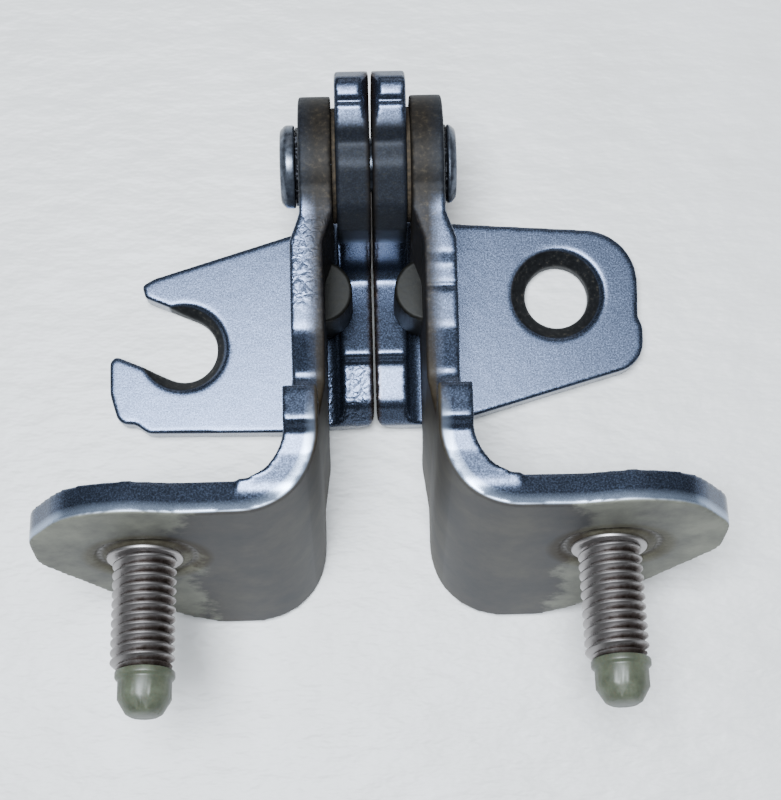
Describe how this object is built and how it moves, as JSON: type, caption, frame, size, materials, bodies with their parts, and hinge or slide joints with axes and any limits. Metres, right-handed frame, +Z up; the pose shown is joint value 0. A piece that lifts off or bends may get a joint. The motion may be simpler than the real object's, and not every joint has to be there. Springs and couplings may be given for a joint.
{
  "type": "friction stay hinge",
  "caption": "Double friction stay hinge: back-to-back riveted brackets with a bolt hole and a hook slot, and a swinging arm each side ending in a studded foot.",
  "frame": {"origin": "under the middle of the whole hinge, on the face the bracket flanges rest on", "axes": "+X across the hinge towards the bracket with the bolt hole, +Y from the studs to the rivet, +Z up from the flanges"},
  "size_m": [0.0866, 0.0814, 0.0437],
  "materials": {
    "painted_steel": "blue-grey metallic baked paint, satin",
    "painted_rivet": "blue-grey metallic paint, glossy",
    "zinc_steel": "zinc-plated steel, rolled thread",
    "pilot_cap_nylon": "grey-green moulded nylon",
    "bronze": "sintered bronze bush",
    "friction_lining": "woven-resin friction washer",
    "spring_steel": "oil-blackened spring steel",
    "bare_lug": "dusty bare steel"
  },
  "bodies": {
    "brackets": {"left_bracket": "painted_steel", "right_bracket": "painted_steel", "pivot_rivet": "painted_rivet", "left_friction_washer": "friction_lining", "right_friction_washer": "friction_lining", "left_disc_spring": "spring_steel", "right_disc_spring": "spring_steel"},
    "left_arm": {"left_arm": "painted_steel", "left_pivot_bush": "bronze", "left_stud": "zinc_steel", "left_pilot_cap": "pilot_cap_nylon", "left_stop_lug": "bare_lug"},
    "right_arm": {"right_arm": "painted_steel", "right_pivot_bush": "bronze", "right_stud": "zinc_steel", "right_pilot_cap": "pilot_cap_nylon", "right_stop_lug": "bare_lug"}
  },
  "joints": [
    {"name": "left_arm_swing", "type": "hinge", "parent": "brackets", "child": "left_arm", "pos_m": [-0.0072, 0.03002, 0.026], "axis": [-1, 0, 0], "range_deg": [0, 95]},
    {"name": "right_arm_swing", "type": "hinge", "parent": "brackets", "child": "right_arm", "pos_m": [0.0072, 0.03002, 0.026], "axis": [-1, 0, 0], "range_deg": [0, 95]}
  ]
}
